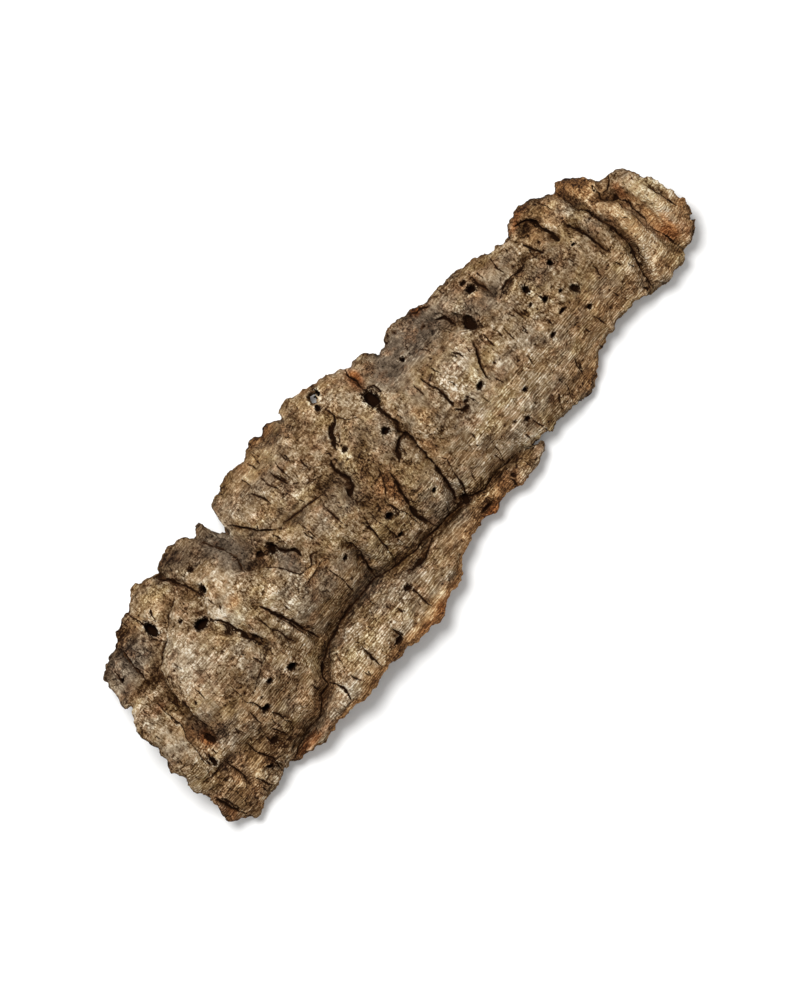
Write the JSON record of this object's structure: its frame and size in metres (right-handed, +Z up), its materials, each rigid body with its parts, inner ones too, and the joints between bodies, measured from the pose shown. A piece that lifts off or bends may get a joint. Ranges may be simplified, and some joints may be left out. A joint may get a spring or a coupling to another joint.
{
  "type": "cork bark slab",
  "caption": "Arched slab of raw cork bark, rough and fissured on top, hollow beneath, with broken rims; a climbing or hiding piece for a terrarium or a planting base",
  "frame": {"origin": "on the floor, under the middle of the slab's box", "axes": "+X along the grain, from the rolled end to the folded end; +Y to the far long edge; +Z up, out of the bark"},
  "size_m": [0.401, 0.1388, 0.0399],
  "materials": {
    "cork_bark": "dry, rough cork bark"
  },
  "bodies": {
    "root": {"cork_slab": "cork_bark"}
  },
  "joints": []
}
